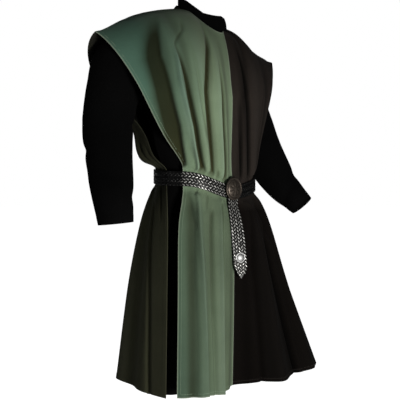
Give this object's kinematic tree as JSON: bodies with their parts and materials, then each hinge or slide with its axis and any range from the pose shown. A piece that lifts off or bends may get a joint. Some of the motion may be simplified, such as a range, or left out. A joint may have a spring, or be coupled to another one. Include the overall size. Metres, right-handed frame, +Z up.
{
  "type": "medieval costume shirt: belted open-sided surcoat over a long-sleeved tunic",
  "caption": "Knee-length medieval costume shirt, worn and hollow: parti-coloured open-sided surcoat with wide shoulder wings, black long-sleeved tunic and braided leather belt.",
  "frame": {"origin": "on the neck's axis at the height of the collar's foot on the right, where the wearer's neck and shoulders carry the garment", "axes": "+Z up the wearer, the front faces -Y, the wearer's right is -X"},
  "size_m": [0.7443, 0.4236, 1.0728],
  "materials": {
    "green_cloth": "heavy green twill, soft sheen",
    "charcoal_cloth": "heavy charcoal-brown twill",
    "olive_cloth": "heavy dark olive twill",
    "black_cloth": "black wool-blend twill",
    "belt_leather": "glossy braided black leather",
    "buckle_metal": "antiqued white metal, worn bright on the relief",
    "concho_metal": "polished silver-coloured metal"
  },
  "bodies": {
    "root": {"surcoat_front_right": "green_cloth", "surcoat_front_left": "charcoal_cloth", "surcoat_back_right": "olive_cloth", "surcoat_back_left": "charcoal_cloth", "tunic_front": "black_cloth", "tunic_back": "black_cloth", "tunic_sleeve_right": "black_cloth", "tunic_sleeve_left": "black_cloth", "collar": "black_cloth", "belt": "belt_leather", "belt_tail": "belt_leather", "belt_buckle": "buckle_metal", "belt_concho": "concho_metal"}
  },
  "joints": []
}
